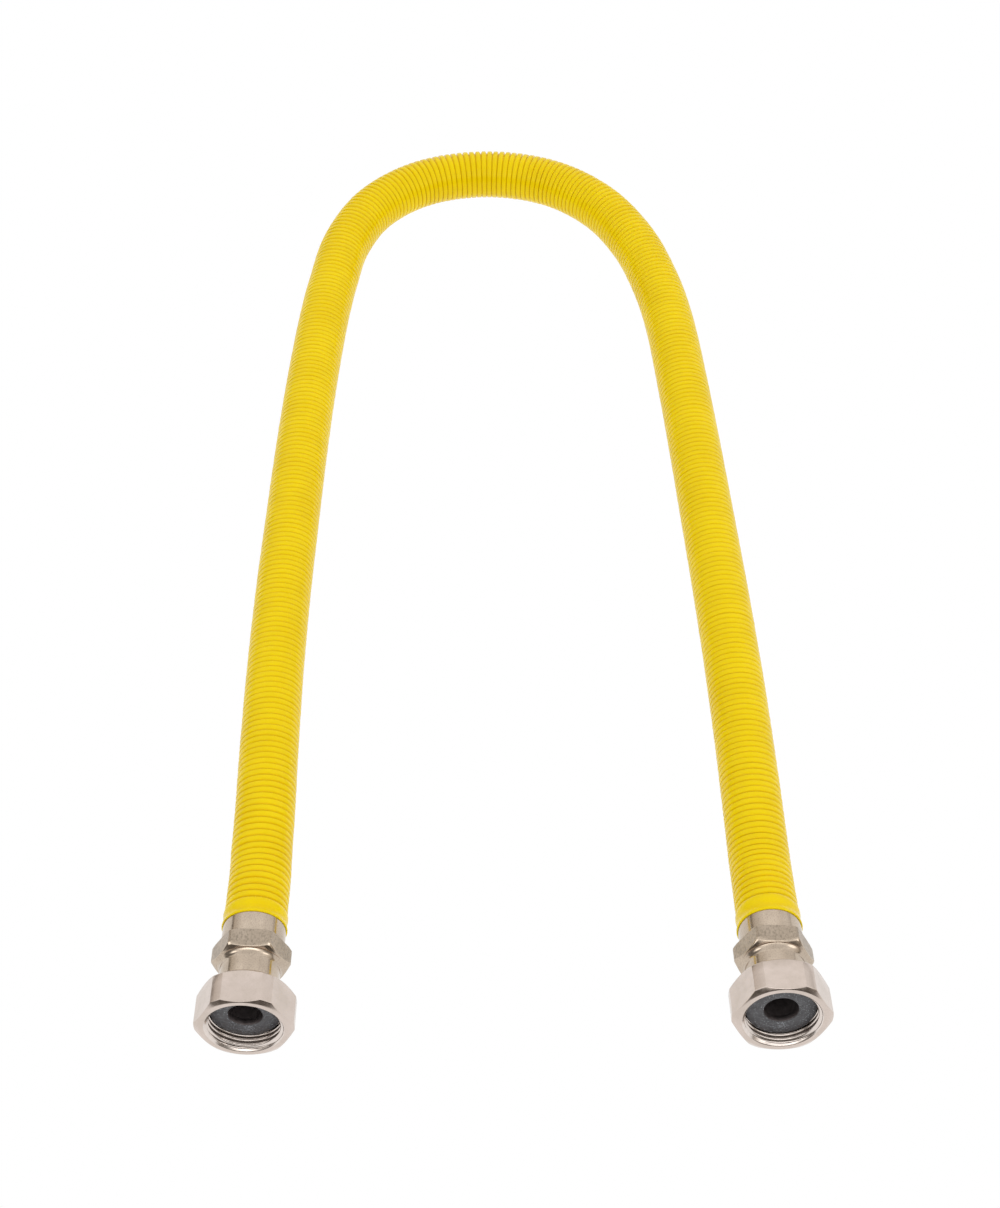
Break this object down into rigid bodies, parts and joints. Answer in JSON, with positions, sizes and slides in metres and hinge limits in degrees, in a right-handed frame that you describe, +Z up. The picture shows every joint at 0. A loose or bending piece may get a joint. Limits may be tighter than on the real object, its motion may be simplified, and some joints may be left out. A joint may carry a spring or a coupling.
{
  "type": "flexible gas hose",
  "caption": "Flexible gas hose in a U: corrugated metal pipe in a ribbed plastic cover, a hexagonal fitting at each end and loose union nuts with an inside thread and a flat seal.",
  "frame": {"origin": "on the floor, in the middle under the box of the two end fittings", "axes": "+X from the left fitting to the right one, +Y towards the bend of the hose, +Z up"},
  "size_m": [0.2122, 0.4813, 0.0385],
  "materials": {
    "cover": "satin gloss",
    "pipe": "bright",
    "fitting": "fine turned, dull",
    "gasket": "matte",
    "spring_ring": "bright",
    "nut": "smooth nickel plate"
  },
  "bodies": {
    "hose": {"cover": "cover", "corrugated_pipe": "pipe", "left_fitting_body": "fitting", "right_fitting_body": "fitting", "left_gasket": "gasket", "right_gasket": "gasket"},
    "left_ring": {"left_retaining_ring": "spring_ring"},
    "left_nut": {"left_swivel_nut": "nut"},
    "right_ring": {"right_retaining_ring": "spring_ring"},
    "right_nut": {"right_swivel_nut": "nut"}
  },
  "joints": [
    {"name": "left_nut_slide", "type": "slide", "parent": "hose", "child": "left_ring", "axis": [-0.0035, -0.9968, 0.0802], "range_m": [-0.0088, 0]},
    {"name": "left_nut_spin", "type": "hinge", "parent": "left_ring", "child": "left_nut", "pos_m": [-0.08923, -0.02287, 0.01588], "axis": [-0.0035, -0.9968, 0.0802], "continuous": true},
    {"name": "right_nut_slide", "type": "slide", "parent": "hose", "child": "right_ring", "axis": [0.0095, -0.9848, 0.1736], "range_m": [-0.0075, 0.0013]},
    {"name": "right_nut_spin", "type": "hinge", "parent": "right_ring", "child": "right_nut", "pos_m": [0.08919, -0.02339, 0.02204], "axis": [0.0095, -0.9848, 0.1736], "continuous": true}
  ]
}
